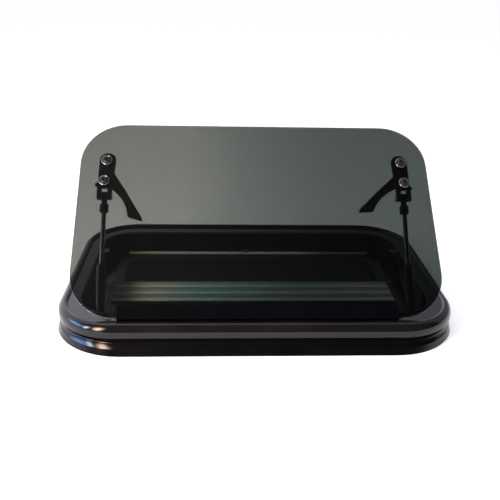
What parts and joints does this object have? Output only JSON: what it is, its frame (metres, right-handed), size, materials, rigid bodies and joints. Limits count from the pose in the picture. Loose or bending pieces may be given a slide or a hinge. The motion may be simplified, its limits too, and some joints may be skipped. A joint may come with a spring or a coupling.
{
  "type": "push-out caravan window",
  "caption": "Tinted glass push-out window for a caravan, in a black frame with rounded corners, propped open on two side struts.",
  "frame": {"origin": "middle of the bottom of the whole window as it lies, outer face up", "axes": "+X along the hinge, +Y from the hinge edge to the free edge, +Z out of the wall"},
  "size_m": [0.655, 0.449, 0.2852],
  "materials": {
    "frame_gloss": "glossy black powder coat on an aluminium profile",
    "ring_gloss": "glossy black coat with two fine grooves",
    "gasket_rubber": "matt black foam rubber",
    "seal_rubber": "satin black rubber bulb",
    "hinge_black": "satin black",
    "end_cap_plastic": "black moulded caps",
    "screen_black": "satin black",
    "screen_mesh": "fine black fly mesh",
    "pull_bar_metal": "satin anodised bar",
    "shade_foil": "silvered ribs of the shade",
    "screw_steel": "zinc plated",
    "bracket_black": "fine satin black",
    "pin_steel": "plain steel pin",
    "strip_black": "matt black strip",
    "pad_rubber": "black rubber",
    "screw_black": "glossy black cap screw",
    "lever_black": "black moulded lever, fine satin",
    "rod_polished": "polished rod",
    "collar_black": "black collar",
    "cylinder_black": "glossy black tube",
    "tinted_glass": "green-grey tinted safety glass"
  },
  "bodies": {
    "frame": {"outer_frame": "frame_gloss", "inner_frame": "ring_gloss", "wall_gasket": "gasket_rubber", "sash_seal": "seal_rubber", "hinge_rail": "hinge_black", "hinge_end_caps": "end_cap_plastic", "screen_frame": "screen_black", "fly_screen": "screen_mesh", "screen_pull_bar": "pull_bar_metal", "ribbed_shade": "shade_foil", "clamp_screws": "screw_steel", "strut_foot_left": "bracket_black", "strut_foot_right": "bracket_black", "foot_pin_left": "pin_steel", "foot_pin_right": "pin_steel", "keeper_left": "bracket_black", "keeper_right": "bracket_black"},
    "sash": {"glass_pane": "tinted_glass", "sash_hinge_strip": "strip_black", "bracket_left": "bracket_black", "bracket_right": "bracket_black", "bracket_pad_left": "pad_rubber", "bracket_pad_right": "pad_rubber", "upper_screw_left": "screw_black", "upper_screw_right": "screw_black", "pivot_screw_left": "screw_black", "pivot_screw_right": "screw_black", "fork_pin_left": "pin_steel", "fork_pin_right": "pin_steel"},
    "lever_left": {"latch_lever_left": "lever_black"},
    "lever_right": {"latch_lever_right": "lever_black"},
    "rod_left": {"strut_rod_left": "rod_polished", "strut_end_left": "collar_black"},
    "rod_right": {"strut_rod_right": "rod_polished", "strut_end_right": "collar_black"},
    "cylinder_left": {"strut_cylinder_left": "cylinder_black"},
    "cylinder_right": {"strut_cylinder_right": "cylinder_black"}
  },
  "joints": [
    {"name": "sash_hinge", "type": "hinge", "parent": "frame", "child": "sash", "pos_m": [0, -0.179, 0.036], "axis": [1, 0, 0], "range_deg": [-42, 0]},
    {"name": "lever_left_pivot", "type": "hinge", "parent": "sash", "child": "lever_left", "pos_m": [-0.258, 0.00093, 0.20306], "axis": [0, -0.6691, 0.7431], "range_deg": [-28, 14.5]},
    {"name": "lever_right_pivot", "type": "hinge", "parent": "sash", "child": "lever_right", "pos_m": [0.258, 0.00093, 0.20306], "axis": [0, 0.6691, -0.7431], "range_deg": [-42.5, 0]},
    {"name": "cylinder_left_foot", "type": "hinge", "parent": "frame", "child": "cylinder_left", "pos_m": [-0.258, -0.138, 0.016], "axis": [1, 0, 0], "range_deg": [-49, 1]},
    {"name": "rod_left_fork", "type": "hinge", "parent": "sash", "child": "rod_left", "pos_m": [-0.258, -0.00848, 0.18213], "axis": [1, 0, 0], "range_deg": [-7, 1]},
    {"name": "cylinder_right_foot", "type": "hinge", "parent": "frame", "child": "cylinder_right", "pos_m": [0.258, -0.138, 0.016], "axis": [1, 0, 0], "range_deg": [-49, 1]},
    {"name": "rod_right_fork", "type": "hinge", "parent": "sash", "child": "rod_right", "pos_m": [0.258, -0.00848, 0.18213], "axis": [1, 0, 0], "range_deg": [-7, 1]}
  ],
  "couplings": [
    {"joint": "cylinder_left_foot", "follows": "sash_hinge", "ratio": 1.117},
    {"joint": "rod_left_fork", "follows": "sash_hinge", "ratio": 0.117},
    {"joint": "cylinder_right_foot", "follows": "sash_hinge", "ratio": 1.117},
    {"joint": "rod_right_fork", "follows": "sash_hinge", "ratio": 0.117}
  ]
}
